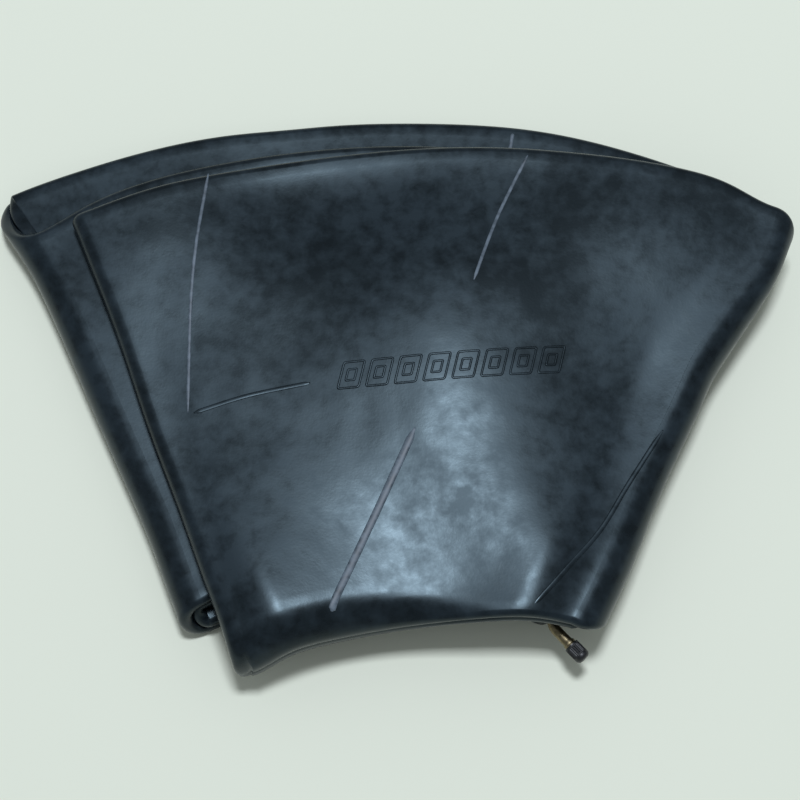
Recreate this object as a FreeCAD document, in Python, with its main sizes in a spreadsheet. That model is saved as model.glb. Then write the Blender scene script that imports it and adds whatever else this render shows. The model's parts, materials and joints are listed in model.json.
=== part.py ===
import FreeCAD, Part
import math
import os
import re
import Sketcher

# A truck inner tube folded flat: first in half, then in three. Each of the three panels is two flattened
# layers of the tube, and the panels are joined by bends about two fold lines. The bent valve comes out of the
# inner edge of the middle panel. Z = 0 is the surface that the packet lies on.

doc = FreeCAD.newDocument("folded_inner_tube")
sheet = doc.addObject("Spreadsheet::Sheet", "dims")

DIMENSIONS = {
    # Flattened tube
    "wall": 2.2,
    "layer_height": 7.7,
    "panel_pitch": 16.0,
    "crease_wall": 4.0,
    # Fold lines: angle from +Y towards +X, and distance from the drawing origin
    "left_fold_angle": -25.7,
    "left_fold_offset": -135.3,
    "right_fold_angle": 26.5,
    "right_fold_offset": 133.3,
    # Ends of the half fold, where a panel's two layers turn into each other
    "front_end_angle": -21.3,
    "front_end_offset": -122.6,
    "back_end_angle": 25.0,
    "back_end_offset": 112.0,
    # Each panel is part of a ring about its own centre
    "front_centre_x": 30.5,
    "front_centre_y": -430.5,
    "front_outer_radius": 567.7,
    "front_inner_radius": 307.4,
    "middle_centre_x": -3.7,
    "middle_centre_y": -281.4,
    "middle_outer_radius": 427.0,
    "middle_inner_radius": 195.0,
    "back_centre_x": -9.4,
    "back_centre_y": -312.8,
    "back_outer_radius": 480.5,
    "back_inner_radius": 212.0,
    # Bends at the fold lines
    "inner_bend_radius": 7.4,
    "outer_bend_inside": 8.3,
    "outer_bend_outside": 15.7,
    # Middle of the packet's outline, which becomes the origin
    "frame_x": -0.65,
    "frame_y": 12.8,
    # Valve: place on the middle panel's inner edge, height, bend
    "valve_angle": 26.54,
    "valve_height": 23.7,
    "stem_rise": 9.0,
    "stem_bend": 70.24,
    "stem_bend_radius": 9.0,
    "stem_reach": 18.0,
    "stem_neck_radius": 2.8,
    "stem_thread_radius": 3.4,
    "stem_thread_length": 9.5,
    "stem_shoulder": 1.2,
    "stem_bore_radius": 1.6,
    "foot_radius": 6.5,
    "foot_lift": 0.3,
    "foot_height": 1.4,
    # Pad under the valve
    "pad_length": 44.0,
    "pad_edge": 1.6,
    "pad_height": 5.0,
    "pad_shoulder": 3.0,
    "pad_width": 13.6,
    "pad_boss_radius": 6.6,
    "pad_boss_top": 4.6,
    "pad_boss_height": 8.6,
    # Stem mouth
    "mouth_thread_radius": 2.65,
    "mouth_thread_depth": 6.0,
    "seat_top_radius": 2.5,
    "seat_bottom_radius": 2.05,
    "seat_depth": 9.5,
    "chamber_depth": 16.4,
    # Valve core, measured down from the mouth
    "plug_radius": 2.6,
    "plug_bore": 1.75,
    "plug_top": 0.8,
    "plug_bottom": 5.6,
    "bridge_top": 3.2,
    "bridge_width": 1.9,
    "bridge_hole": 0.6,
    "bridge_overlap": 0.2,
    "barrel_radius": 1.85,
    "barrel_bore": 1.45,
    "barrel_top": 5.7,
    "barrel_bottom": 12.8,
    "barrel_web": 0.7,
    "barrel_hole": 0.7,
    "gasket_top": 6.6,
    "gasket_bottom": 9.2,
    "gasket_fit": 0.03,
    "pin_radius": 0.475,
    "pin_top": 0.4,
    "pin_head_radius": 0.8,
    "pin_head_height": 0.8,
    "pin_collar_radius": 1.1,
    "pin_collar_top": 6.9,
    "pin_collar_height": 0.6,
    "pin_bottom": 14.6,
    "washer_radius": 1.6,
    "washer_height": 0.8,
    "cup_radius": 1.95,
    "cup_wall": 0.25,
    "cup_base": 0.6,
    "cup_lip": 0.2,
    "spring_radius": 1.05,
    "spring_wire": 0.34,
    "spring_pitch": 0.9,
    "spring_gap": 0.02,
    # How far a cut runs past the surface it opens
    "cut_clearance": 1.0,
    # Cap, measured up from the mouth
    "cap_radius": 4.1,
    "cap_bore": 3.48,
    "cap_top": 2.0,
    "cap_roof": 1.1,
    "cap_skirt": 8.0,
    "cap_edge": 1.4,
    "seal_radius": 3.25,
    "seal_gap": 0.03,
}

for row, (alias, value) in enumerate(DIMENSIONS.items(), start=1):
    sheet.set(f"A{row}", alias)
    sheet.set(f"B{row}", str(value))
    sheet.setAlias(f"B{row}", alias)
doc.recompute()

subParts = []


def bound(text):
    """The expression with each dimension's name pointing at its cell."""
    return re.sub(r"\b[a-z]+(?:_[a-z]+)*\b", lambda w: "dims." + w[0] if w[0] in DIMENSIONS else w[0], text)


def value(text):
    return float(sheet.evalExpression(bound(text)))


def newBody(label, base=("0", "0", "0"), rotation=None):
    """A body at base, three expressions, turned by a FreeCAD rotation."""
    body = doc.addObject("PartDesign::Body", label)
    body.Label = label
    if rotation is not None:
        body.Placement = FreeCAD.Placement(FreeCAD.Vector(), rotation)
    for axis, place in zip("xyz", base):
        body.setExpression("Placement.Base." + axis, bound(place))
    subParts.append(body)
    return body


def originPlane(body, role):
    return next(item for item in body.Origin.OriginFeatures if item.Role == role)


def newSketch(body, name, role, height=None):
    sketch = body.newObject("Sketcher::SketchObject", name)
    sketch.AttachmentSupport = [(originPlane(body, role), "")]
    sketch.MapMode = "FlatFace"
    if height is not None:
        sketch.setExpression("AttachmentOffset.Base.z", bound(height))
    return sketch


def pin(sketch, kind, geometry, point, text):
    """Hold one point of the sketch at an expression, measured from its origin."""
    index = sketch.addConstraint(Sketcher.Constraint(kind, -1, 1, geometry, point, value(text)))
    sketch.setExpression(f"Constraints[{index}]", bound(text))


def drawOutline(sketch, corners):
    """Draw a closed outline. A corner is (x, y), or (x, y, centre x, centre y, turn) where an arc starts."""
    first = sketch.GeometryCount
    normal = FreeCAD.Vector(0, 0, 1)
    places = [FreeCAD.Vector(value(corner[0]), value(corner[1]), 0) for corner in corners]
    starts = []
    for index, corner in enumerate(corners):
        here = places[index]
        there = places[(index + 1) % len(corners)]
        startPoint, endPoint = 1, 2
        if len(corner) == 2:
            geometry = sketch.addGeometry(Part.LineSegment(here, there))
        else:
            centre = FreeCAD.Vector(value(corner[2]), value(corner[3]), 0)
            if corner[4] == "clockwise":
                here, there = there, here
                startPoint, endPoint = 2, 1
            fromAngle = math.atan2(here.y - centre.y, here.x - centre.x)
            toAngle = math.atan2(there.y - centre.y, there.x - centre.x)
            circle = Part.Circle(centre, normal, (here - centre).Length)
            geometry = sketch.addGeometry(Part.ArcOfCircle(circle, fromAngle, toAngle))
        starts.append((geometry, startPoint, endPoint))
    for index, (geometry, startPoint, endPoint) in enumerate(starts):
        following, nextStart, _ = starts[(index + 1) % len(starts)]
        sketch.addConstraint(Sketcher.Constraint("Coincident", geometry, endPoint, following, nextStart))
    for index, corner in enumerate(corners):
        geometry, startPoint, _ = starts[index]
        pin(sketch, "DistanceX", geometry, startPoint, corner[0])
        pin(sketch, "DistanceY", geometry, startPoint, corner[1])
        if len(corner) > 2:
            chord = places[(index + 1) % len(corners)] - places[index]
            if abs(chord.y) > abs(chord.x):
                pin(sketch, "DistanceX", geometry, 3, corner[2])
            else:
                pin(sketch, "DistanceY", geometry, 3, corner[3])
    return sketch


def drawCircle(sketch, radius, x="0", y="0"):
    centre = FreeCAD.Vector(value(x), value(y), 0)
    circle = sketch.addGeometry(Part.Circle(centre, FreeCAD.Vector(0, 0, 1), value(radius)))
    pin(sketch, "DistanceX", circle, 3, x)
    pin(sketch, "DistanceY", circle, 3, y)
    index = sketch.addConstraint(Sketcher.Constraint("Radius", circle, value(radius)))
    sketch.setExpression(f"Constraints[{index}]", bound(radius))
    return sketch


def revolve(body, sketch, name, kind="PartDesign::Revolution"):
    """Turn a sketch of the XZ plane round the body's Z axis."""
    feature = body.newObject(kind, name)
    feature.Profile = sketch
    feature.ReferenceAxis = (sketch, ["V_Axis"])
    feature.Angle = 360
    return feature


def pad(body, sketch, name, length, bothWays=False):
    feature = body.newObject("PartDesign::Pad", name)
    feature.Profile = sketch
    feature.setExpression("Length", bound(length))
    if bothWays:
        feature.SideType = "Symmetric"
    return feature


def pocket(body, sketch, name, depth):
    """Cut both ways from a sketch that lies inside the solid, and make sure that it did cut."""
    doc.recompute()
    before = body.Shape.Volume
    feature = body.newObject("PartDesign::Pocket", name)
    feature.Profile = sketch
    feature.SideType = "Symmetric"
    feature.setExpression("Length", bound(depth))
    doc.recompute()
    if body.Shape.Volume >= before:
        raise RuntimeError(f"{body.Label}: {name} cuts nothing")
    return feature


# ---- Tube ----

def along(panel, line, radius, sideways="0"):
    """Where a fold line, moved sideways, crosses a radius of a panel, from the panel's centre."""
    angle = f"{line}_angle"
    away = f"({line}_offset + {sideways} - {panel}_centre_x*cos({angle}) + {panel}_centre_y*sin({angle}))"
    reach = f"sqrt(({radius})^2 - {away}^2)"
    return (
        f"{away}*cos({angle}) + {reach}*sin({angle})",
        f"-{away}*sin({angle}) + {reach}*cos({angle})",
    )


def sector(panel, leftLine, rightLine, margin, leftMargin, rightMargin):
    """Outline of a panel, moved inwards by a margin, with straight ends on two lines."""
    outer = f"{panel}_outer_radius - {margin}"
    inner = f"{panel}_inner_radius + {margin}"
    return [
        along(panel, leftLine, outer, leftMargin) + ("0", "0", "clockwise"),
        along(panel, rightLine, outer, f"(-{rightMargin})"),
        along(panel, rightLine, inner, f"(-{rightMargin})") + ("0", "0", "counterclockwise"),
        along(panel, leftLine, inner, leftMargin),
    ]


def addPanel(label, panel, leftLine, rightLine, storey, endSide=None):
    """Two flattened layers, one on the other, each with its own flat air space."""
    place = (f"{panel}_centre_x - frame_x", f"{panel}_centre_y - frame_y", f"{storey}*panel_pitch")
    body = newBody(label, place)
    for layer in ("lower", "upper"):
        level = "0" if layer == "lower" else "layer_height"
        outline = newSketch(body, f"{label}_{layer}_outline", "XY_Plane", level)
        drawOutline(outline, sector(panel, leftLine, rightLine, "0", "0", "0"))
        pad(body, outline, f"{label}_{layer}_layer", "layer_height")
    if endSide is not None:
        addEndBend(body, panel, leftLine if endSide == "left" else rightLine, endSide)
    for layer, level in (("lower", "layer_height/2"), ("upper", "layer_height*1.5")):
        space = newSketch(body, f"{label}_{layer}_space", "XY_Plane", level)
        margins = ("crease_wall", "crease_wall", "crease_wall")
        drawOutline(space, sector(panel, leftLine, rightLine, *margins))
        pocket(body, space, f"{label}_{layer}_air", "layer_height - 2*wall")
    return body


def addEndBend(body, panel, line, side):
    """Half-round end, where the lower layer turns up into the upper one."""
    angle = f"{line}_angle"
    away = f"({line}_offset - {panel}_centre_x*cos({angle}) + {panel}_centre_y*sin({angle}))"
    far = f"sqrt(({panel}_outer_radius - crease_wall)^2 - {away}^2)"
    near = f"sqrt(({panel}_inner_radius + crease_wall)^2 - {away}^2)"
    sketch = newSketch(body, f"{body.Label}_end_profile", "XZ_Plane")
    turn = FreeCAD.Rotation(FreeCAD.Vector(0, 1, 0), -value(angle))
    sketch.AttachmentOffset = FreeCAD.Placement(FreeCAD.Vector(), turn)
    sketch.setExpression("AttachmentOffset.Base.x", bound(f"{away}*cos({angle}) + {far}*sin({angle})"))
    sketch.setExpression("AttachmentOffset.Base.z", bound(f"{away}*sin({angle}) - {far}*cos({angle})"))
    turning = "clockwise" if side == "left" else "counterclockwise"
    drawOutline(sketch, [
        ("0", "0", "0", "layer_height", turning),
        ("0", "2*layer_height"),
    ])
    pad(body, sketch, f"{body.Label}_end_bend", f"{far} - {near}")


def addBend(label, line, storey, side, inside, outside):
    """One layer of the tube turned back over a fold line: half a ring along the line."""
    angle = f"{line}_angle"
    sign = "-" if side == "left" else ""
    away = f"({line}_offset - middle_centre_x*cos({angle}) + middle_centre_y*sin({angle}))"
    far = f"sqrt((middle_outer_radius - crease_wall)^2 - {away}^2)"
    near = f"sqrt((middle_inner_radius + crease_wall)^2 - {away}^2)"
    centre = f"(middle_centre_x*sin({angle}) + middle_centre_y*cos({angle}))"
    base = (
        f"{line}_offset*cos({angle}) + ({centre} + {far})*sin({angle}) - frame_x",
        f"-{line}_offset*sin({angle}) + ({centre} + {far})*cos({angle}) - frame_y",
        f"{storey}*panel_pitch - (panel_pitch - 2*layer_height)/2",
    )
    body = newBody(label, base, FreeCAD.Rotation(FreeCAD.Vector(0, 0, 1), -value(angle)))
    outer = "counterclockwise" if side == "right" else "clockwise"
    inner = "clockwise" if side == "right" else "counterclockwise"
    ring = newSketch(body, f"{label}_ring", "XZ_Plane")
    if inside == "0":
        drawOutline(ring, [("0", f"-({outside})", "0", "0", outer), ("0", outside)])
    else:
        drawOutline(ring, [
            ("0", f"-({outside})", "0", "0", outer),
            ("0", outside),
            ("0", inside, "0", "0", inner),
            ("0", f"-({inside})"),
        ])
    pad(body, ring, f"{label}_solid", f"{far} - {near}")
    reach = f"{sign}crease_wall/4"
    top = f"({outside} - wall)"
    bottom = f"({inside} + wall)"
    if inside == "0":
        bottom = "(wall)"
    space = newSketch(body, f"{label}_space", "XZ_Plane", f"({far} - {near})/2")
    rise = f"sqrt({top}^2 - (crease_wall/4)^2)"
    low = f"sqrt({bottom}^2 - (crease_wall/4)^2)"
    drawOutline(space, [
        (reach, f"-{rise}", "0", "0", outer),
        (reach, rise),
        (reach, low, "0", "0", inner),
        (reach, f"-{low}"),
    ])
    pocket(body, space, f"{label}_air", f"{far} - {near} - 2*crease_wall")
    return body


# ---- Valve ----

def stemDirection():
    """World direction of the straight end of the stem, as an angle from +X."""
    return 270 - value("valve_angle") + value("stem_bend") - 360


def padTurn():
    """Local Z towards the middle of the ring, local Y up."""
    angle = math.radians(270 - value("valve_angle"))
    inward = FreeCAD.Vector(math.cos(angle), math.sin(angle), 0)
    up = FreeCAD.Vector(0, 0, 1)
    return FreeCAD.Rotation(up.cross(inward), up, inward, "ZYX")


def mouthTurn():
    """Local Z out of the stem's mouth, local Y up."""
    angle = math.radians(stemDirection())
    outward = FreeCAD.Vector(math.cos(angle), math.sin(angle), 0)
    up = FreeCAD.Vector(0, 0, 1)
    return FreeCAD.Rotation(up.cross(outward), up, outward, "ZYX")


padBase = (
    "middle_centre_x + middle_inner_radius*sin(valve_angle) - frame_x",
    "middle_centre_y + middle_inner_radius*cos(valve_angle) - frame_y",
    "valve_height",
)
stemRun = "(stem_rise + stem_bend_radius*sin(stem_bend) + stem_reach*cos(stem_bend))"
stemSide = "(stem_bend_radius*(1 - cos(stem_bend)) + stem_reach*sin(stem_bend))"
mouthBase = (
    padBase[0] + f" - {stemRun}*sin(valve_angle) + {stemSide}*cos(valve_angle)",
    padBase[1] + f" - {stemRun}*cos(valve_angle) - {stemSide}*sin(valve_angle)",
    "valve_height",
)


def addTurned(label, corners, atMouth=True):
    """A piece turned on a lathe, from an outline of radius and height."""
    body = newBody(label, mouthBase if atMouth else padBase, mouthTurn() if atMouth else padTurn())
    profile = drawOutline(newSketch(body, label + "_profile", "XZ_Plane"), corners)
    revolve(body, profile, label + "_turned")
    return body


def addValveBasePad():
    """Rubber base moulded on the tube's inner edge, with a boss round the stem and a recess for its foot."""
    label = "valve_base_pad"
    body = newBody(label, padBase, padTurn())
    half = "pad_length/2"
    edge = f"(middle_inner_radius - sqrt(middle_inner_radius^2 - ({half})^2))"
    plan = drawOutline(newSketch(body, label + "_plan", "XZ_Plane"), [
        (f"-{half}", edge, "0", "middle_inner_radius", "counterclockwise"),
        (half, edge),
        (half, f"{edge} + pad_edge"),
        ("pad_boss_radius + pad_shoulder", "pad_height"),
        ("-pad_boss_radius - pad_shoulder", "pad_height"),
        (f"-{half}", f"{edge} + pad_edge"),
    ])
    pad(body, plan, label + "_plate", "pad_width", bothWays=True)
    boss = drawOutline(newSketch(body, label + "_boss_profile", "XZ_Plane"), [
        ("0", "pad_height/2"),
        ("pad_boss_radius", "pad_height/2"),
        ("pad_boss_radius", "pad_height"),
        ("pad_boss_top", "pad_boss_height"),
        ("0", "pad_boss_height"),
    ])
    revolve(body, boss, label + "_boss")
    bore = drawOutline(newSketch(body, label + "_bore_profile", "XZ_Plane"), [
        ("0", "-cut_clearance"),
        ("foot_radius", "-cut_clearance"),
        ("foot_radius", "foot_height"),
        ("stem_neck_radius", "foot_height"),
        ("stem_neck_radius", "pad_boss_height + cut_clearance"),
        ("0", "pad_boss_height + cut_clearance"),
    ])
    revolve(body, bore, label + "_bore", "PartDesign::Groove")


def addValveStem():
    """Brass stem: a foot, a short rise, one bend and the threaded end with the core's chamber."""
    label = "valve_stem"
    body = newBody(label, mouthBase, mouthTurn())
    path = newSketch(body, label + "_path", "XZ_Plane")
    bendX = "stem_bend_radius*(1 - cos(stem_bend))"
    bendZ = "-stem_reach - stem_bend_radius*sin(stem_bend)"
    footX = f"({bendX}) + (stem_rise - foot_lift)*sin(stem_bend)"
    footZ = f"({bendZ}) - (stem_rise - foot_lift)*cos(stem_bend)"
    mouth = FreeCAD.Vector(0, 0, 0)
    bendStart = FreeCAD.Vector(0, value("-stem_reach"), 0)
    bendEnd = FreeCAD.Vector(value(bendX), value(bendZ), 0)
    foot = FreeCAD.Vector(value(footX), value(footZ), 0)
    centre = FreeCAD.Vector(value("stem_bend_radius"), bendStart.y, 0)
    turn = Part.Circle(centre, FreeCAD.Vector(0, 0, 1), value("stem_bend_radius"))
    rise = path.addGeometry(Part.LineSegment(foot, bendEnd))
    arc = path.addGeometry(Part.ArcOfCircle(turn, math.pi, math.pi + math.radians(value("stem_bend"))))
    reach = path.addGeometry(Part.LineSegment(bendStart, mouth))
    path.addConstraint(Sketcher.Constraint("Coincident", rise, 2, arc, 2))
    path.addConstraint(Sketcher.Constraint("Coincident", arc, 1, reach, 1))
    for geometry, point, across, up in (
        (rise, 1, footX, footZ),
        (rise, 2, bendX, bendZ),
        (reach, 1, "0", "-stem_reach"),
        (reach, 2, "0", "0"),
    ):
        pin(path, "DistanceX", geometry, point, across)
        pin(path, "DistanceY", geometry, point, up)
    pin(path, "DistanceY", arc, 3, "-stem_reach")
    section = newSketch(body, label + "_section", "XY_Plane")
    drawCircle(section, "stem_neck_radius")
    drawCircle(section, "stem_bore_radius")
    pipe = body.newObject("PartDesign::AdditivePipe", label + "_tube")
    pipe.Profile = section
    pipe.Spine = path
    doc.recompute()
    sleeve = drawOutline(newSketch(body, label + "_sleeve_profile", "XZ_Plane"), [
        ("stem_bore_radius", "0"),
        ("stem_thread_radius", "0"),
        ("stem_thread_radius", "-stem_thread_length"),
        ("stem_neck_radius", "-stem_thread_length - stem_shoulder"),
        ("stem_bore_radius", "-stem_thread_length - stem_shoulder"),
    ])
    revolve(body, sleeve, label + "_sleeve")
    chamber = drawOutline(newSketch(body, label + "_chamber_profile", "XZ_Plane"), [
        ("0", "cut_clearance"),
        ("mouth_thread_radius", "cut_clearance"),
        ("mouth_thread_radius", "-mouth_thread_depth"),
        ("seat_top_radius", "-mouth_thread_depth"),
        ("seat_bottom_radius", "-seat_depth"),
        ("seat_bottom_radius", "-chamber_depth"),
        ("0", "-chamber_depth"),
    ])
    revolve(body, chamber, label + "_chamber", "PartDesign::Groove")
    return body


def addStemFoot(stem):
    """Round foot at the far end of the stem, clamped inside the pad."""
    sketch = newSketch(stem, "valve_stem_foot_profile", "XZ_Plane")
    angle = value("stem_bend")
    place = FreeCAD.Vector(0, 0, 0)
    place.x = value("stem_bend_radius*(1 - cos(stem_bend)) + stem_rise*sin(stem_bend)")
    place.y = value("-stem_reach - stem_bend_radius*sin(stem_bend) - stem_rise*cos(stem_bend)")
    sketch.AttachmentOffset = FreeCAD.Placement(place, FreeCAD.Rotation(FreeCAD.Vector(0, 0, 1), angle))
    drawOutline(sketch, [
        ("stem_bore_radius", "foot_lift"),
        ("foot_radius", "foot_lift"),
        ("foot_radius", "foot_height"),
        ("stem_bore_radius", "foot_height"),
    ])
    revolve(stem, sketch, "valve_stem_foot")


def addCore():
    """The pieces inside the stem's mouth. The pin, its cup and the seat washer slide together."""
    plug = addTurned("core_plug", [
        ("plug_bore", "-plug_bottom"),
        ("plug_radius", "-plug_bottom"),
        ("plug_radius", "-plug_top"),
        ("plug_bore", "-plug_top"),
    ])
    bridge = newSketch(plug, "core_plug_bridge_outline", "XY_Plane", "-plug_bottom")
    across = "(plug_bore + bridge_overlap)"
    drawOutline(bridge, [
        (f"-{across}", "-bridge_width/2"),
        (across, "-bridge_width/2"),
        (across, "bridge_width/2"),
        (f"-{across}", "bridge_width/2"),
    ])
    drawCircle(bridge, "bridge_hole")
    pad(plug, bridge, "core_plug_bridge", "plug_bottom - bridge_top")
    addTurned("core_barrel", [
        ("barrel_hole", "-barrel_top"),
        ("barrel_hole", "-barrel_top - barrel_web"),
        ("barrel_bore", "-barrel_top - barrel_web"),
        ("barrel_bore", "-barrel_bottom + barrel_web"),
        ("barrel_hole", "-barrel_bottom + barrel_web"),
        ("barrel_hole", "-barrel_bottom"),
        ("barrel_radius", "-barrel_bottom"),
        ("barrel_radius", "-barrel_top"),
    ])
    slope = "(seat_top_radius - seat_bottom_radius)/(seat_depth - mouth_thread_depth)"
    addTurned("core_gasket", [
        ("barrel_radius", "-gasket_bottom"),
        (f"seat_bottom_radius - gasket_fit + (seat_depth - gasket_bottom)*{slope}", "-gasket_bottom"),
        (f"seat_bottom_radius - gasket_fit + (seat_depth - gasket_top)*{slope}", "-gasket_top"),
        ("barrel_radius", "-gasket_top"),
    ])
    addTurned("core_pin", [
        ("0", "-pin_bottom"),
        ("pin_radius", "-pin_bottom"),
        ("pin_radius", "-pin_collar_top - pin_collar_height"),
        ("pin_collar_radius", "-pin_collar_top - pin_collar_height"),
        ("pin_collar_radius", "-pin_collar_top"),
        ("pin_radius", "-pin_collar_top"),
        ("pin_radius", "-pin_top - pin_head_height"),
        ("pin_head_radius", "-pin_top - pin_head_height"),
        ("pin_head_radius", "-pin_top"),
        ("0", "-pin_top"),
    ])
    seat = "-barrel_bottom - washer_height"
    addTurned("core_seat_washer", [
        ("pin_radius", seat),
        ("washer_radius", seat),
        ("washer_radius", "-barrel_bottom"),
        ("pin_radius", "-barrel_bottom"),
    ])
    addTurned("core_cup", [
        ("pin_radius", f"{seat} - cup_base"),
        ("cup_radius", f"{seat} - cup_base"),
        ("cup_radius", "-barrel_bottom - cup_lip"),
        ("cup_radius - cup_wall", "-barrel_bottom - cup_lip"),
        ("cup_radius - cup_wall", seat),
        ("pin_radius", seat),
    ])


def addCoreSpring():
    """Coil spring inside the barrel, between the pin's collar and the barrel's lower web."""
    top = value("-pin_collar_top - pin_collar_height")
    bottom = value("-barrel_bottom + barrel_web")
    wire = value("spring_wire")
    radius = value("spring_radius")
    gap = value("spring_gap")
    span = top - bottom - wire - 2*gap
    helix = Part.makeLongHelix(value("spring_pitch"), span, radius)
    ring = Part.Wire(Part.makeCircle(wire/2, FreeCAD.Vector(radius, 0, 0), FreeCAD.Vector(0, 1, 0)))
    spring = doc.addObject("Part::Feature", "core_spring")
    spring.Label = "core_spring"
    spring.Shape = Part.Wire(helix.Edges).makePipeShell([ring], True, True)
    turn = mouthTurn()
    foot = turn.multVec(FreeCAD.Vector(0, 0, bottom + wire/2 + gap))
    mouth = FreeCAD.Vector(*[value(place) for place in mouthBase])
    spring.Placement = FreeCAD.Placement(mouth + foot, turn)
    subParts.append(spring)


def addCap():
    """Plastic cap with a rubber disc that seals on the stem's mouth."""
    roof = "cap_top - cap_roof"
    addTurned("cap_shell", [
        ("0", "cap_top"),
        ("0", roof),
        ("cap_bore", roof),
        ("cap_bore", "-cap_skirt"),
        ("cap_radius", "-cap_skirt"),
        ("cap_radius", "cap_top - cap_edge"),
        ("cap_radius - cap_edge", "cap_top"),
    ])
    addTurned("cap_seal", [
        ("0", "seal_gap"),
        ("seal_radius", "seal_gap"),
        ("seal_radius", f"{roof} - seal_gap"),
        ("0", f"{roof} - seal_gap"),
    ])


addPanel("tube_back_panel", "back", "left_fold", "back_end", 0, "right")
addPanel("tube_middle_panel", "middle", "left_fold", "right_fold", 1)
addPanel("tube_front_panel", "front", "front_end", "right_fold", 2, "left")
addBend("left_fold_inner", "left_fold", 1, "left", "0", "inner_bend_radius")
addBend("left_fold_outer", "left_fold", 1, "left", "outer_bend_inside", "outer_bend_outside")
addBend("right_fold_inner", "right_fold", 2, "right", "0", "inner_bend_radius")
addBend("right_fold_outer", "right_fold", 2, "right", "outer_bend_inside", "outer_bend_outside")
addValveBasePad()
addStemFoot(addValveStem())
addCore()
addCoreSpring()
addCap()

doc.recompute()
for item in doc.Objects:
    if "Invalid" in item.State or "Error" in item.State:
        raise RuntimeError(f"{item.Label} is {item.State}")
os.makedirs("parts", exist_ok=True)
for item in subParts:
    shape = item.Shape
    if shape.isNull() or not shape.isValid():
        raise RuntimeError(f"{item.Label} has no valid shape")
    shape.exportStep(f"parts/{item.Label}.step")
    box = shape.BoundBox
    print(item.Label, len(shape.Solids), "solid,", round(shape.Volume), "mm3",
          [round(side, 1) for side in (box.XMin, box.XMax, box.YMin, box.YMax, box.ZMin, box.ZMax)])
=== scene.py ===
import bpy
import bmesh
import json
import math
from mathutils import Matrix, Vector, noise


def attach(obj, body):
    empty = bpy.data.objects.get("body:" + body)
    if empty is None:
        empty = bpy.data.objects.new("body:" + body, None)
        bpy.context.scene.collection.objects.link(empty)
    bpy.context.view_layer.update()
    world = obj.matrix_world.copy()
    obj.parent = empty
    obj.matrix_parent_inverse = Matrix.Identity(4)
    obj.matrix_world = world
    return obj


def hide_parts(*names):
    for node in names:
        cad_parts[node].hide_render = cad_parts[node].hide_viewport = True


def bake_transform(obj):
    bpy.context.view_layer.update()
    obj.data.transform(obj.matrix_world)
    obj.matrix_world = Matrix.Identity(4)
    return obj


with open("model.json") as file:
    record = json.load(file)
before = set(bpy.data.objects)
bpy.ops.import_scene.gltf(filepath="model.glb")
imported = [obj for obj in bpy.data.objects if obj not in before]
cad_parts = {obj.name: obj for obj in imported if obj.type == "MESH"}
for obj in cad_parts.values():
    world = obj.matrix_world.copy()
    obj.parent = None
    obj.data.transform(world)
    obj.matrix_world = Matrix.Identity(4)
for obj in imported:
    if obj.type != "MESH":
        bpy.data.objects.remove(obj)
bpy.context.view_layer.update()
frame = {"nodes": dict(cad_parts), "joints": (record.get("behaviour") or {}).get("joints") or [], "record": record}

# Folded truck inner tube. Lengths in the dictionaries are millimetres unless a note says otherwise.
mm = 0.001

camera = {
    "aim": (0.65, -12.8, 23.7),
    "distance": 1182.0,
    "elevation": 72.0,  # degrees above the floor
    "lens": 100.0,
    "sensor": 36.0,
    "clipEnd": 50.0,  # metres
}


def makeCamera():
    data = bpy.data.cameras.new("camera")
    data.lens = camera["lens"]
    data.sensor_width = camera["sensor"]
    data.clip_end = camera["clipEnd"]
    item = bpy.data.objects.new("camera", data)
    bpy.context.collection.objects.link(item)
    tilt = math.radians(camera["elevation"])
    aim = Vector(camera["aim"]) * mm
    item.location = aim + Vector((0, -math.cos(tilt), math.sin(tilt))) * camera["distance"] * mm
    item.rotation_euler = (aim - item.location).to_track_quat("-Z", "Y").to_euler()
    bpy.context.scene.camera = item


makeCamera()
print("camera placed")


def linear(hexColour, alpha=1.0):
    channels = [int(hexColour[i:i + 2], 16) / 255 for i in (1, 3, 5)]
    return [c / 12.92 if c <= 0.04045 else ((c + 0.055) / 1.055) ** 2.4 for c in channels] + [alpha]


def newMaterial(name, **values):
    material = bpy.data.materials.new(name)
    material.use_nodes = True
    shader = material.node_tree.nodes["Principled BSDF"]
    for socket, value in values.items():
        shader.inputs[socket.replace("_", " ")].default_value = value
    return material, material.node_tree, shader


def addNode(tree, kind, settings, sockets):
    node = tree.nodes.new(kind)
    for name, choice in settings.items():
        setattr(node, name, choice)
    for socket, source in sockets.items():
        if isinstance(source, bpy.types.NodeSocket):
            tree.links.new(source, node.inputs[socket])
        else:
            node.inputs[socket].default_value = source
    return node


colourA, colourB, mixedColour = 6, 7, 2  # a Mix node's sockets when it mixes colours


def perMetre(size):
    # a noise texture's scale for features of this size in millimetres
    return 1 / (size * mm)


tubeRubber = {
    "dark": "#0A0F13", "bloom": "#1E262C", "bloomPatch": 62.0, "mottle": 8.0,
    "bloomFrom": 0.16, "bloomTo": 0.38,  # talc shows from the first of these noise values to the second
    "grain": 1.3, "grainHeight": 0.015, "ripple": 14.0, "rippleHeight": 0.07,
    "smoothest": 0.26, "roughest": 0.38, "reflectance": 0.32, "tint": "#DAF5FF",
}


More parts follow.
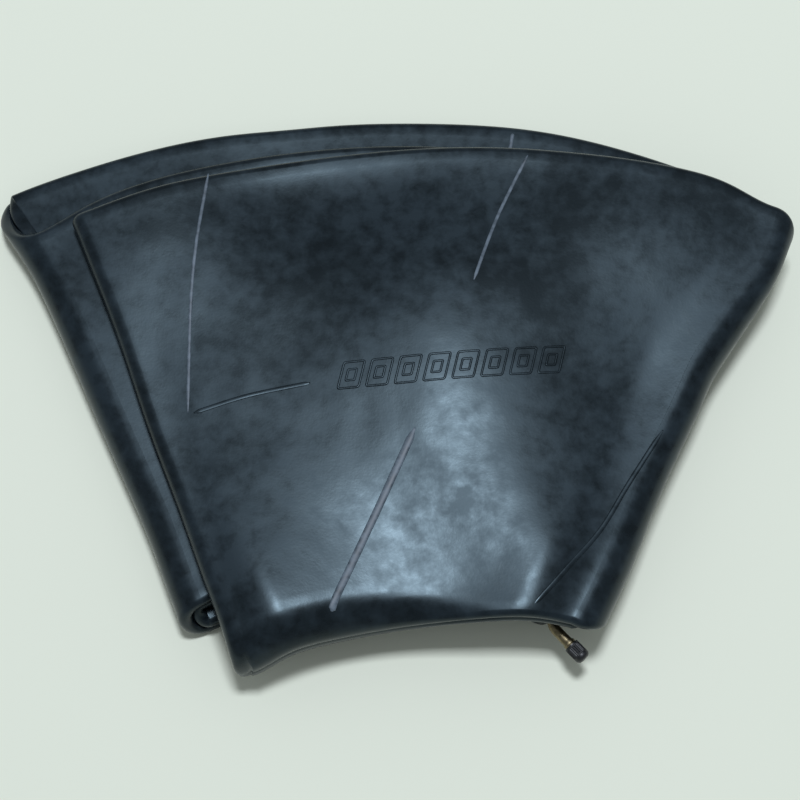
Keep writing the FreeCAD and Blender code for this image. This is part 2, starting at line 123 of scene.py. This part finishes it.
def makeTubeRubber():
    # Butyl rubber cured in a polished mould, then dusted with talc: a satin blue-black skin whose
    # highlights break up into cloudy, slightly chalky patches.
    values = tubeRubber
    material, tree, shader = newMaterial(
        "talced butyl rubber", Specular_IOR_Level=values["reflectance"],
        Specular_Tint=linear(values["tint"]))
    place = addNode(tree, "ShaderNodeTexCoord", {}, {}).outputs["Object"]
    patch = addNode(tree, "ShaderNodeTexNoise", {}, {
        "Vector": place, "Scale": perMetre(values["bloomPatch"]), "Detail": 3.0, "Roughness": 0.6})
    mottle = addNode(tree, "ShaderNodeTexNoise", {}, {
        "Vector": place, "Scale": perMetre(values["mottle"]), "Detail": 5.0, "Roughness": 0.6,
        "Distortion": 0.15})
    cloud = addNode(tree, "ShaderNodeMath", {"operation": "MULTIPLY"}, {
        0: patch.outputs[0], 1: mottle.outputs[0]})
    bloom = addNode(tree, "ShaderNodeMapRange", {}, {
        "Value": cloud.outputs[0], "From Min": values["bloomFrom"], "From Max": values["bloomTo"]})
    colour = addNode(tree, "ShaderNodeMix", {"data_type": "RGBA"}, {
        "Factor": bloom.outputs[0], colourA: linear(values["dark"]), colourB: linear(values["bloom"])})
    rough = addNode(tree, "ShaderNodeMapRange", {}, {
        "Value": bloom.outputs[0], "To Min": values["smoothest"], "To Max": values["roughest"]})
    ripple = addNode(tree, "ShaderNodeTexNoise", {}, {
        "Vector": place, "Scale": perMetre(values["ripple"]), "Detail": 2.0})
    grain = addNode(tree, "ShaderNodeTexNoise", {}, {
        "Vector": place, "Scale": perMetre(values["grain"]), "Detail": 3.0})
    rippled = addNode(tree, "ShaderNodeBump", {}, {
        "Height": ripple.outputs[0], "Strength": 1.0, "Distance": values["rippleHeight"] * mm})
    grained = addNode(tree, "ShaderNodeBump", {}, {
        "Height": grain.outputs[0], "Strength": 1.0, "Distance": values["grainHeight"] * mm,
        "Normal": rippled.outputs[0]})
    tree.links.new(colour.outputs[mixedColour], shader.inputs["Base Color"])
    tree.links.new(rough.outputs[0], shader.inputs["Roughness"])
    tree.links.new(grained.outputs[0], shader.inputs["Normal"])
    return material


def makePlain(name, dark, light, size, smoothest, roughest, bump, **values):
    # one finish whose colour, gloss and fine relief all follow a noise of the given size
    material, tree, shader = newMaterial(name, **values)
    place = addNode(tree, "ShaderNodeTexCoord", {}, {}).outputs["Object"]
    grain = addNode(tree, "ShaderNodeTexNoise", {}, {
        "Vector": place, "Scale": perMetre(size), "Detail": 4.0, "Roughness": 0.6})
    share = addNode(tree, "ShaderNodeMapRange", {}, {
        "Value": grain.outputs[0], "From Min": 0.3, "From Max": 0.7})
    colour = addNode(tree, "ShaderNodeMix", {"data_type": "RGBA"}, {
        "Factor": share.outputs[0], colourA: linear(dark), colourB: linear(light)})
    rough = addNode(tree, "ShaderNodeMapRange", {}, {
        "Value": share.outputs[0], "To Min": smoothest, "To Max": roughest})
    relief = addNode(tree, "ShaderNodeBump", {}, {
        "Height": grain.outputs[0], "Strength": 1.0, "Distance": bump * mm})
    tree.links.new(colour.outputs[mixedColour], shader.inputs["Base Color"])
    tree.links.new(rough.outputs[0], shader.inputs["Roughness"])
    tree.links.new(relief.outputs[0], shader.inputs["Normal"])
    return material


finishes = {
    "tube_rubber": makeTubeRubber(),
    # The raised lines are paler and duller than the skin: their pale colour is a painted highlight standing in for
    # the light that catches their crests
    "raised_rubber": makePlain("raised rubber with painted highlight", "#333D45", "#66727D", 5.0, 0.4, 0.5, 0.01,
                               Specular_IOR_Level=0.4),
    # Moulded rubber base: matt black with a dusty skin and no clear highlight
    "base_rubber": makePlain("moulded base rubber", "#101214", "#1E2225", 3.0, 0.55, 0.72, 0.05),
    # Turned brass left bare: yellow-brown metal, dulled in patches where it has been handled
    "valve_brass": makePlain("browned turned brass", "#5A5340", "#94876A", 2.2, 0.32, 0.52, 0.02,
                             Metallic=1.0),
    # The core's brass sits covered, so it keeps its bright yellow
    "core_brass": makePlain("bright turned brass", "#B8924A", "#DDBD78", 1.0, 0.18, 0.3, 0.005,
                            Metallic=1.0),
    # PTFE sealing ring, moulded red: smooth, waxy and a little soft at its edges
    "core_gasket": makePlain("red sealing plastic", "#8E2018", "#A83025", 1.0, 0.35, 0.45, 0.005),
    # Drawn steel wire and pin: grey with a narrow bright highlight
    "core_steel": makePlain("drawn steel wire", "#8C8C8A", "#B5B5B2", 0.5, 0.22, 0.34, 0.003, Metallic=1.0),
    # Moulded polyethylene cap: black with a soft satin sheen and scuffed ribs
    "cap_plastic": makePlain("moulded black polyethylene", "#08090A", "#15171A", 1.6, 0.38, 0.55, 0.015),
    # Die-cut rubber disc and washer: flat matt black
    "seal_rubber": makePlain("matt sealing rubber", "#131313", "#1D1D1D", 0.8, 0.6, 0.75, 0.01),
}
print("finishes made")


def linkMesh(name, bm):
    mesh = bpy.data.meshes.new(name)
    bm.to_mesh(mesh)
    bm.free()
    for face in mesh.polygons:
        face.use_smooth = True
    item = bpy.data.objects.new(name, mesh)
    bpy.context.collection.objects.link(item)
    return item


def finish(item, slotName, look=None):
    item.data.materials.append(finishes[look or slotName])


mergeDistance = 0.00001  # metres


def mapGrid(bm, columns, rows, place):
    # one sheet of faces, each corner put where place(column, share round) says, then closed
    made = bmesh.ops.create_grid(bm, x_segments=columns, y_segments=rows, size=0.5)
    for vert in made["verts"]:
        column = int(round((vert.co.x + 0.5) * columns))
        vert.co = place(column, (vert.co.y + 0.5) % 1.0) * mm
    bmesh.ops.remove_doubles(bm, verts=bm.verts, dist=mergeDistance)
    bmesh.ops.holes_fill(bm, edges=[e for e in bm.edges if e.is_boundary], sides=0)
    bmesh.ops.recalc_face_normals(bm, faces=bm.faces)


def hinge(name):
    joint = next(j for j in frame["joints"] if j["name"] == name)
    along = Vector(joint["axis"][:2])
    if along.y < 0:
        along = -along
    place = Vector(joint["pos_m"]) / mm
    return {"point": place.xy, "along": along, "height": place.z}


def endLine(x, y, angle):
    turn = math.radians(angle)
    return {"point": Vector((x, y)), "along": Vector((math.sin(turn), math.cos(turn)))}


lines = {
    "leftFold": hinge("rear_fold"),
    "rightFold": hinge("front_fold"),
    "frontEnd": endLine(-113.6, -57.3, -21.3),
    "backEnd": endLine(102.15, -60.13, 25.0),
}
# Each panel is part of a ring. Waves are bends of its edges: place along the edge as a share, outward
# shift, half length as a share.
panels = {
    "front": {
        "centre": (31.15, -443.3), "inner": 306.5, "outer": 567.7, "left": "frontEnd", "right": "rightFold",
        "leftWaves": [(0.5, 0.8, 0.1), (0.75, -1.0, 0.1), (0.2, 0.8, 0.08), (0.0, 1.5, 0.06)],
        "rightWaves": [(0.45, -3.0, 0.22), (0.62, -1.5, 0.05), (0.88, 7.0, 0.09), (0.12, 1.5, 0.1)],
        "outerWaves": [(1.0, -8.0, 0.05), (0.0, -1.5, 0.05)],
        "innerWaves": [(0.0, -3.5, 0.08), (0.5, 0.5, 0.25), (0.95, 3.0, 0.12)],
    },
    "middle": {
        "centre": (-3.05, -294.2), "inner": 195.0, "outer": 427.0, "left": "leftFold", "right": "rightFold",
        "leftWaves": [(0.0, 4.0, 0.12), (0.8, -2.0, 0.2), (1.0, 1.0, 0.05)],
        "rightWaves": [(0.45, -3.0, 0.22), (0.62, -1.5, 0.05), (0.12, 1.5, 0.1)],
        "outerWaves": [(0.0, -5.0, 0.05), (1.0, -8.0, 0.1)],
        "innerWaves": [],
    },
    "back": {
        "centre": (-8.75, -325.6), "inner": 212.0, "outer": 480.5, "left": "leftFold", "right": "backEnd",
        "leftWaves": [(0.0, 4.0, 0.12), (0.8, -2.0, 0.2), (1.0, 6.0, 0.07)],
        "rightWaves": [],
        "outerWaves": [(0.0, 1.0, 0.06), (0.38, -1.2, 0.05), (0.5, -1.5, 0.12), (0.75, 2.0, 0.1)],
        "innerWaves": [],
    },
}
tube = {
    "stack": 47.4,
    "layer": 7.7,
    "wallGap": 0.35,
    "bead": 8.2,  # thickness at the two lay-flat edges
    "beadReach": 9.0,
    "middleThin": 0.4,
    "levels": {  # middle of each layer
        "frontUpper": 43.55, "frontLower": 35.85,
        "middleUpper": 27.55, "middleLower": 19.85,
        "backUpper": 11.55, "backLower": 3.85,
    },
    "corner": 0.75,  # below 1 squares the folds off, above 1 makes them pointed
    "leastSine": 0.02,  # keeps a squared fold's heading finite at its ends
    "flatShare": 0.43,  # share of the points round the section that goes to each flat wall
    "rings": 128,
    "topSteps": 150,
    "panelSteps": 110,
    "endSteps": 14,
    "outerSteps": 36,
    "innerSteps": 20,
    "sharp": 60,  # degrees
    "blendReach": {"outer": 9.5, "inner": 2.0},  # height above and below a fold line, one for each of the two bend pieces made at a fold
    "foldReach": 30.0,
    "foldRise": 0.3,  # share of the swells that is left at a fold line
}
droop = {"start": 22.0, "span": 16.0, "drop": 9.0, "clearFrom": 52.0, "clearOver": 26.0}
relief = [  # swells and hollows of the packet: x, y, half sizes, turn in degrees, rise
    (30, 22, 48, 74, 0, 7.5),
    (-26, 100, 62, 26, 0, -6.0),
    (-130, 95, 32, 38, -20, 3.0),
    (135, 80, 38, 36, 20, 3.0),
    (66, -88, 26, 46, -8, 2.5),
    (150, -66, 40, 60, -6, -7.0),
    (100, -134, 34, 52, -22, 8.0),
    (-150, -90, 44, 60, 10, -6.0),
    (-84, -142, 40, 56, 14, 8.5),
]
unevenness = [(0.45, 46, 3.1), (0.12, 15, 7.7)]  # rise, size of a patch, level the noise is read at


def waves(bumps, place):
    return sum(size * math.exp(-0.5 * ((place - centre) / spread) ** 2) for centre, size, spread in bumps)


def smooth(t):
    t = min(max(t, 0.0), 1.0)
    return t * t * (3 - 2 * t)


def across(vector):
    return Vector((vector.y, -vector.x))


def lineTurn(lineName, centre, radius, outward):
    line = lines[lineName]
    offset = (line["point"] - centre).dot(across(line["along"])) + outward
    return math.atan2(line["along"].x, line["along"].y) + math.asin(offset / radius)


def panelPoint(name, share, reach):
    panel = panels[name]
    centre = Vector(panel["centre"])
    inner = panel["inner"] + waves(panel["innerWaves"], share)
    outer = panel["outer"] + waves(panel["outerWaves"], share)
    radius = inner + (outer - inner) * reach
    left = lineTurn(panel["left"], centre, radius, -waves(panel["leftWaves"], reach))
    right = lineTurn(panel["right"], centre, radius, waves(panel["rightWaves"], reach))
    turn = left + (right - left) * share
    return centre + Vector((math.sin(turn), math.cos(turn))) * radius


def settle(x, y):
    # how much the whole packet swells or sinks at a place, as a factor on every height
    rise = 0.0
    for cx, cy, sx, sy, angle, height in relief:
        turn = math.radians(angle)
        dx, dy = x - cx, y - cy
        u = (dx * math.cos(turn) + dy * math.sin(turn)) / sx
        v = (-dx * math.sin(turn) + dy * math.cos(turn)) / sy
        rise += height * math.exp(-0.5 * (u * u + v * v))
    rise += sum(height * noise.noise(Vector((x / size, y / size, level)))
                for height, size, level in unevenness)
    place = Vector((x, y))
    for lineName, inside in (("leftFold", 1), ("rightFold", -1)):
        # the layers come together evenly along the fold lines
        line = lines[lineName]
        away = (place - line["point"]).dot(across(line["along"])) * inside
        rise *= tube["foldRise"] + (1 - tube["foldRise"]) * smooth(away / tube["foldReach"])
    return 1 + rise / tube["stack"]


def sag(x, y):
    # the front panel's inner margin hangs past the panels below it, except over the valve
    beyond = panels["middle"]["inner"] - (Vector((x, y)) - Vector(panels["middle"]["centre"])).length
    amount = max((beyond - droop["start"]) / droop["span"], 0) ** 3
    return droop["drop"] * amount * (1 - smooth((x - droop["clearFrom"]) / droop["clearOver"]))


def layerHeight(panelName, level, x, y):
    height = level * settle(x, y)
    return height - sag(x, y) if panelName == "front" else height


def layerNormal(panelName, level, place):
    step = 1.0
    slopeX = (layerHeight(panelName, level, place.x + step, place.y)
              - layerHeight(panelName, level, place.x - step, place.y)) / (2 * step)
    slopeY = (layerHeight(panelName, level, place.x, place.y + step)
              - layerHeight(panelName, level, place.x, place.y - step)) / (2 * step)
    return Vector((-slopeX, -slopeY, 1)).normalized()


def thickness(fromEdge):
    # a layer is thickest at its two lay-flat edges
    thin = tube["layer"] - 2 * tube["wallGap"] - tube["middleThin"]
    thick = tube["bead"] - 2 * tube["wallGap"]
    return thin + (thick - thin) * math.exp(-(fromEdge / tube["beadReach"]) ** 2)


def panelWidth(name):
    return panels[name]["outer"] - panels[name]["inner"]


def surfacePoint(name, levelName, place, side=1):
    # a point on a layer's upper or lower skin, and the way out of the rubber there
    level = tube["levels"][levelName]
    width = panelWidth(name)
    q = (place - Vector(panels[name]["centre"])).length - panels[name]["inner"]
    normal = layerNormal(name, level, place) * side
    middle = Vector((place.x, place.y, layerHeight(name, level, place.x, place.y)))
    return middle + normal * thickness(min(q, width - q)) * settle(place.x, place.y) / 2, normal


def sectionPoint(v, width):
    # v runs once round the flattened tube: out along one wall, round the outer edge and back
    half = thickness(0) / 2
    flat = width - 2 * half
    shareFlat = tube["flatShare"]
    if v < shareFlat:
        return half + flat * v / shareFlat, 1.0
    if v < 0.5:
        turn = math.pi * (v - shareFlat) / (0.5 - shareFlat)
        return width - half + half * math.sin(turn), math.cos(turn)
    if v < 0.5 + shareFlat:
        return width - half - flat * (v - 0.5) / shareFlat, -1.0
    turn = math.pi * (v - 0.5 - shareFlat) / (0.5 - shareFlat)
    return half - half * math.sin(turn), -math.cos(turn)


# Each piece of the tube is one or more swept runs, and a run is a list of legs: flat panels, and turns
# about a fold line from one layer to another. A layer's place on the fold line is 0 at the left, 1 at the
# right, and the last number is how many steps the leg is swept in.
runs = {
    "front_panel_tube": [[
        ("panel", "front", "frontUpper", (1, 0), tube["topSteps"]),
        ("turn", "frontEnd", ("front", "frontUpper", 0), ("front", "frontLower", 0), tube["endSteps"]),
        ("panel", "front", "frontLower", (0, 1), tube["panelSteps"]),
    ]],
    "middle_panel_tube": [
        [("panel", "middle", "middleLower", (0, 1), tube["panelSteps"])],
        [("panel", "middle", "middleUpper", (0, 1), tube["panelSteps"])],
    ],
    "back_panel_tube": [[
        ("panel", "back", "backUpper", (0, 1), tube["panelSteps"]),
        ("turn", "backEnd", ("back", "backUpper", 1), ("back", "backLower", 1), tube["endSteps"]),
        ("panel", "back", "backLower", (1, 0), tube["panelSteps"]),
    ]],
    "right_fold_outer_bend": [[
        ("turn", "rightFold", ("middle", "middleLower", 1), ("front", "frontUpper", 1),
         tube["outerSteps"])]],
    "right_fold_inner_bend": [[
        ("turn", "rightFold", ("front", "frontLower", 1), ("middle", "middleUpper", 1),
         tube["innerSteps"])]],
    "left_fold_outer_bend": [[
        ("turn", "leftFold", ("back", "backLower", 0), ("middle", "middleUpper", 0),
         tube["outerSteps"])]],
    "left_fold_inner_bend": [[
        ("turn", "leftFold", ("middle", "middleLower", 0), ("back", "backUpper", 0),
         tube["innerSteps"])]],
}


def panelLegPoint(leg, t, v):
    _, name, levelName, (start, end), _ = leg
    level = tube["levels"][levelName]
    width = panelWidth(name)
    q, side = sectionPoint(v, width)
    place = panelPoint(name, start + (end - start) * t, q / width)
    heading = 1 if end > start else -1
    normal = layerNormal(name, level, place) * -heading
    middle = Vector((place.x, place.y, layerHeight(name, level, place.x, place.y)))
    return middle + normal * side * thickness(min(q, width - q)) * settle(place.x, place.y) / 2


def turnLegPoint(leg, t, v):
    _, lineName, (nameA, levelA, shareA), (nameB, levelB, shareB), _ = leg
    outSide = 1 if lineName in ("rightFold", "backEnd") else -1
    outward = across(lines[lineName]["along"])
    widthA, widthB = panelWidth(nameA), panelWidth(nameB)
    blend = smooth(t)
    width = widthA + (widthB - widthA) * blend
    q, side = sectionPoint(v, width)
    placeA = panelPoint(nameA, shareA, q / width)
    placeB = panelPoint(nameB, shareB, q / width)
    startZ, endZ = tube["levels"][levelA], tube["levels"][levelB]
    radius = abs(startZ - endZ) / 2
    down = 1 if startZ > endZ else -1
    turn = math.pi * t
    sine = math.sin(turn)
    place = placeA.lerp(placeB, blend) + outward * outSide * radius * sine ** tube["corner"]
    sagA = sag(placeA.x, placeA.y) if nameA == "front" else 0.0
    sagB = sag(placeB.x, placeB.y) if nameB == "front" else 0.0
    factor = settle(place.x, place.y)
    height = (startZ + endZ) / 2 + (startZ - endZ) / 2 * math.cos(turn)
    height = height * factor - (sagA + (sagB - sagA) * blend)
    squared = tube["corner"] * max(sine, tube["leastSine"]) ** (tube["corner"] - 1)
    heading = Vector((squared * math.cos(turn), -down * sine))
    heading.normalize()
    normal = Vector((outward.x * heading.y, outward.y * heading.y, -outSide * heading.x))
    return (Vector((place.x, place.y, height))
            + normal * side * thickness(min(q, width - q)) * factor / 2)


def sweepTube(name, node):
    bm = bmesh.new()
    for legs in runs[name]:
        stations = [(leg, step / leg[-1]) for leg in legs for step in range(leg[-1])]
        stations.append((legs[-1], 1.0))

        def place(column, v):
            leg, t = stations[column]
            return panelLegPoint(leg, t, v) if leg[0] == "panel" else turnLegPoint(leg, t, v)

        mapGrid(bm, len(stations) - 1, tube["rings"], place)
    item = linkMesh(name, bm)
    item.data.set_sharp_from_angle(angle=math.radians(tube["sharp"]))
    finish(item, "tube_rubber")
    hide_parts(node)
    print(name, len(item.data.polygons), "faces")
    return item


for panelName in panels:
    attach(sweepTube(panelName + "_panel_tube", "tube_" + panelName + "_panel"), panelName + "_panel")

foldBodies = {"right": ("middle_panel", "front_panel"), "left": ("back_panel", "middle_panel")}
for side, (lowerBody, upperBody) in foldBodies.items():
    for ring, reach in tube["blendReach"].items():
        bend = sweepTube(f"{side}_fold_{ring}_bend", f"{side}_fold_{ring}")
        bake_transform(bend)


ribs = {  # panel, layer, route over the rubber, width, height above it, look
    "front_left_rib": (
        "front", "frontUpper", [(-103, 108), (-108, 68), (-110, 30), (-109.6, -27)],
        1.8, 0.3, "raised_rubber"),
    "front_upper_rib": (
        "front", "frontUpper", [(69.5, 118), (53, 82), (39.5, 44)],
        1.8, 0.3, "raised_rubber"),
    "front_lower_rib": (
        "front", "frontUpper", [(8.6, -36.7), (-9, -76), (-29.7, -121.3), (-34.5, -132)],
        4.0, 0.5, "raised_rubber"),
    "front_right_rib": (
        "front", "frontUpper", [(137.2, -36.3), (118, -66), (103, -89.9), (84.6, -110.9), (67, -131)],
        2.6, 0.3, "tube_rubber"),
    "front_lengthwise_line": (
        "front", "frontUpper", [(-106.5, -27.1), (-78, -18), (-46, -11.5)],
        2.4, 0.2, "tube_rubber"),
    "back_edge_rib": (
        "back", "backUpper", [(60.5, 128), (63.5, 146)],
        2.2, 0.5, "raised_rubber"),
    "back_under_left_rib": (
        "back", "backLower", [(-66, 128), (-60, 30), (-48, -86)],
        2.0, 0.3, "tube_rubber"),
    "back_under_middle_rib": (
        "back", "backLower", [(-4, 150), (-6, 30), (-9, -108)],
        2.0, 0.3, "tube_rubber"),
    "back_under_right_rib": (
        "back", "backLower", [(66, 130), (50, 30), (30, -92)],
        2.0, 0.3, "tube_rubber"),
}


ribShape = {
    "steps": 26, "round": 12, "taper": 12, "endWidth": 0.3, "endHeight": 0.1, "aheadBy": 0.001,
}


def routePoint(points, t):
    # a smooth curve through the points
    place = t * (len(points) - 1)
    step = min(int(place), len(points) - 2)
    u = place - step
    at = [Vector(points[min(max(step + k, 0), len(points) - 1)]) for k in (-1, 0, 1, 2)]
    return 0.5 * (2 * at[1] + (at[2] - at[0]) * u + (2 * at[0] - 5 * at[1] + 4 * at[2] - at[3]) * u ** 2
                  + (3 * at[1] - at[0] - 3 * at[2] + at[3]) * u ** 3)


def beadPoint(panelName, levelName, here, ahead, width, height, v):
    # a half-sunk bead: an ellipse round a route that lies on the rubber
    side = -1 if levelName == "backLower" else 1
    point, normal = surfacePoint(panelName, levelName, here, side)
    along = Vector((ahead.x - here.x, ahead.y - here.y, 0)).normalized()
    turn = 2 * math.pi * v
    return point + along.cross(normal) * math.cos(turn) * width / 2 + normal * math.sin(turn) * height


def layRib(name, panelName, levelName, points, width, height, look):
    # the bead narrows and sinks into the rubber at its two ends
    count = ribShape["steps"] * (len(points) - 1)
    step = ribShape["aheadBy"]

    def place(column, v):
        t = column / count
        taper = smooth(min(t, 1 - t) * ribShape["taper"])
        here = routePoint(points, t)
        ahead = routePoint(points, t + step) if t < 1 else here + here - routePoint(points, t - step)
        beadWidth = width * (ribShape["endWidth"] + (1 - ribShape["endWidth"]) * taper)
        beadHeight = height * (ribShape["endHeight"] + (1 - ribShape["endHeight"]) * taper)
        return beadPoint(panelName, levelName, here, ahead, beadWidth, beadHeight, v)

    bm = bmesh.new()
    mapGrid(bm, count, ribShape["round"], place)
    item = linkMesh(name, bm)
    finish(item, "tube_rubber", look)
    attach(item, panelName + "_panel")


tiles = {
    "count": 8, "start": (-24.5, -7.5), "pitch": 14.9, "rise": 4.5,  # rise in degrees
    "width": 11.0, "height": 14.0, "slant": 0.32, "squareness": 14.0,
    "line": 1.3, "proud": 0.32, "inner": 0.42, "steps": 64, "round": 8,
}


def layTiles():
    # a plain row of nested, slanted frames
    bm = bmesh.new()
    rise = math.radians(tiles["rise"])
    row = Vector((math.cos(rise), math.sin(rise)))

    def outline(middle, scale, t):
        turn = 2 * math.pi * t
        power = 2 / tiles["squareness"]
        x = math.copysign(abs(math.cos(turn)) ** power, math.cos(turn)) * tiles["width"] / 2 * scale
        y = math.copysign(abs(math.sin(turn)) ** power, math.sin(turn)) * tiles["height"] / 2 * scale
        x += y * tiles["slant"]
        return middle + row * x + Vector((-row.y, row.x)) * y

    for number in range(tiles["count"]):
        middle = Vector(tiles["start"]) + row * tiles["pitch"] * number
        for scale in (1.0, tiles["inner"]):
            def place(column, v):
                here = outline(middle, scale, (column + 0.5) / tiles["steps"])
                ahead = outline(middle, scale, (column + 0.6) / tiles["steps"])
                return beadPoint("front", "frontUpper", here, ahead, tiles["line"], tiles["proud"], v)

            mapGrid(bm, tiles["steps"], tiles["round"], place)
    item = linkMesh("front_tile_row", bm)
    finish(item, "tube_rubber")
    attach(item, "front_panel")


for ribName, route in ribs.items():
    layRib(ribName, *route)
layTiles()
print("ribs and tiles laid")


stem = {
    "neck": 2.8, "thread": 3.4, "bore": 1.6, "reach": 18.0, "bendRadius": 9.0, "bend": 70.24,  # degrees
    "rise": 8.7, "foot": 6.5, "footHeight": 1.1, "shoulder": 10.7, "threadEnd": 9.5,
    "mouth": 2.65, "mouthDepth": 6.0, "seatTop": 2.5, "seat": 2.05, "seatDepth": 9.5, "chamber": 16.4,
    "pitch": 0.794, "threadDepth": 0.26, "threadFade": 1.5, "threadStep": 0.1, "rim": 0.35, "step": 1.0,
    "round": 48, "sharp": 40,  # degrees
}
capJoint = next(j for j in frame["joints"] if j["name"] == "cap_spin")
mouthPlace = Vector(capJoint["pos_m"]) / mm
mouthOut = Vector(capJoint["axis"]).normalized()


def stemPlace(depth):
    # the stem's middle line, this far back from its mouth, and the way towards the mouth
    bendLength = stem["bendRadius"] * math.radians(stem["bend"])
    inBend = min(max(depth - stem["reach"], 0), bendLength)
    turn = Matrix.Rotation(-inBend / stem["bendRadius"], 3, "Z")
    start = mouthPlace - mouthOut * min(depth, stem["reach"])
    centre = start + Vector((-mouthOut.y, mouthOut.x, 0)) * stem["bendRadius"]
    heading = turn @ mouthOut
    beyond = max(depth - stem["reach"] - bendLength, 0)
    return centre + turn @ (start - centre) - heading * beyond, heading


def turned(depth, radius, v):
    point, heading = stemPlace(depth)
    turn = 2 * math.pi * v
    side = heading.cross(Vector((0, 0, 1)))
    return point + (side * math.cos(turn) + Vector((0, 0, 1)) * math.sin(turn)) * radius


def fill(corners, step):
    # the outline's corners with more points between them
    line = []
    for (depthA, radiusA), (depthB, radiusB) in zip(corners, corners[1:]):
        count = max(1, int(math.hypot(depthB - depthA, radiusB - radiusA) / step))
        line += [(depthA + (depthB - depthA) * k / count, radiusA + (radiusB - radiusA) * k / count)
                 for k in range(count)]
    return line + [corners[-1]]


def makeStem():
    total = stem["reach"] + stem["bendRadius"] * math.radians(stem["bend"]) + stem["rise"]
    thread = fill([(stem["threadEnd"], stem["thread"]), (stem["rim"], stem["thread"])], stem["threadStep"])
    outline = fill([
        (total, stem["bore"]), (total, stem["foot"]), (total - stem["footHeight"], stem["foot"]),
        (total - stem["footHeight"], stem["neck"]), (stem["shoulder"], stem["neck"])], stem["step"])
    outline += thread
    outline += fill([
        (0, stem["thread"] - stem["rim"]), (0, stem["mouth"]), (stem["mouthDepth"], stem["mouth"]),
        (stem["mouthDepth"], stem["seatTop"]), (stem["seatDepth"], stem["seat"]),
        (stem["chamber"], stem["seat"]),
        (stem["chamber"], stem["bore"]), (total, stem["bore"])], stem["step"])

    def place(column, v):
        depth, radius = outline[column]
        if radius == stem["thread"]:
            ends = smooth((stem["threadEnd"] - depth) / stem["threadFade"])
            wave = math.cos(2 * math.pi * (depth / stem["pitch"] + v))
            radius -= stem["threadDepth"] * ends * (0.5 + 0.5 * wave)
        return turned(depth, radius, v)

    bm = bmesh.new()
    mapGrid(bm, len(outline) - 1, stem["round"], place)
    item = linkMesh("stem_threaded", bm)
    item.data.set_sharp_from_angle(angle=math.radians(stem["sharp"]))
    finish(item, "valve_brass")
    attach(item, "middle_panel")
    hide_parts("valve_stem")


cap = {
    "radius": 4.1, "bore": 3.48, "skirt": 8.0, "top": 2.0, "roof": 0.9, "dome": 2.4, "domeShape": 0.55,
    "flutes": 26, "fluteDepth": 0.3, "fluteFrom": 0.9, "fluteTo": 7.2, "fluteStart": 0.8,
    "fluteEnd": 0.4, "fluteSteps": 6, "domeSteps": 12, "step": 0.4, "sharp": 50,  # degrees
}


def makeCap():
    # a domed top, a fluted skirt and a plain bore
    dome = []
    for k in range(cap["domeSteps"] + 1):
        turn = math.pi / 2 * k / cap["domeSteps"]
        dome.append((cap["dome"] - cap["top"] - cap["dome"] * math.cos(turn),
                     cap["radius"] * math.sin(turn) ** cap["domeShape"]))
    outline = dome + fill([
        (cap["fluteFrom"], cap["radius"]), (cap["skirt"], cap["radius"]), (cap["skirt"], cap["bore"]),
        (-cap["roof"], cap["bore"]), (-cap["roof"], 0)], cap["step"])

    def place(column, v):
        depth, radius = outline[column]
        if radius == cap["radius"]:
            cut = smooth((depth - cap["fluteFrom"]) / cap["fluteStart"])
            cut *= smooth((cap["fluteTo"] - depth) / cap["fluteEnd"])
            radius -= cap["fluteDepth"] * cut * (0.5 + 0.5 * math.cos(2 * math.pi * cap["flutes"] * v))
        return turned(depth, radius, v)

    bm = bmesh.new()
    mapGrid(bm, len(outline) - 1, cap["flutes"] * cap["fluteSteps"], place)
    item = linkMesh("cap_fluted", bm)
    item.data.set_sharp_from_angle(angle=math.radians(cap["sharp"]))
    finish(item, "cap_plastic")
    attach(item, "cap")
    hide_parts("cap_shell")


makeStem()
makeCap()
print("valve made")

studio = {
    "floorSize": 30000.0,
    "floorColour": "#EDEFDC",
    "floorRoughness": 0.9,
    "worldColour": "#C4CCD2",
    "worldStrength": 0.5,
    "softboxPlace": (60, 420, 3400),
    "softboxAim": (20, -20, 0),
    "softboxSize": (620, 480),
    "softboxWatts": 80.0,
    "softboxTint": "#EAF2FF",
}


def makeStudio():
    world = bpy.data.worlds.new("studio")
    bpy.context.scene.world = world
    world.use_nodes = True
    background = world.node_tree.nodes["Background"]
    background.inputs["Color"].default_value = linear(studio["worldColour"])
    background.inputs["Strength"].default_value = studio["worldStrength"]
    bm = bmesh.new()
    bmesh.ops.create_grid(bm, x_segments=1, y_segments=1, size=studio["floorSize"] / 2 * mm)
    floor = linkMesh("floor", bm)
    # Painted board: pale and matt, so that only the soft shadow shows on it
    paint, _, _ = newMaterial(
        "pale matt floor", Base_Color=linear(studio["floorColour"]), Roughness=studio["floorRoughness"])
    floor.data.materials.append(paint)
    data = bpy.data.lights.new("overhead softbox", "AREA")
    data.shape = "RECTANGLE"
    data.size, data.size_y = [side * mm for side in studio["softboxSize"]]
    data.energy = studio["softboxWatts"]
    data.color = linear(studio["softboxTint"])[:3]
    lamp = bpy.data.objects.new("overhead softbox", data)
    bpy.context.collection.objects.link(lamp)
    lamp.location = Vector(studio["softboxPlace"]) * mm
    toAim = Vector(studio["softboxAim"]) * mm - lamp.location
    lamp.rotation_euler = toAim.to_track_quat("-Z", "Y").to_euler()
    bpy.context.scene.view_settings.view_transform = "Standard"


makeStudio()
print("studio lit")

# the CAD nodes that show keep their meshes and get these finishes
slots = {part["node"]: part["material_slot"] for part in frame["record"]["subparts"]}
for nodeName, node in frame["nodes"].items():
    node.data.materials.clear()
    node.data.materials.append(finishes[slots[nodeName]])
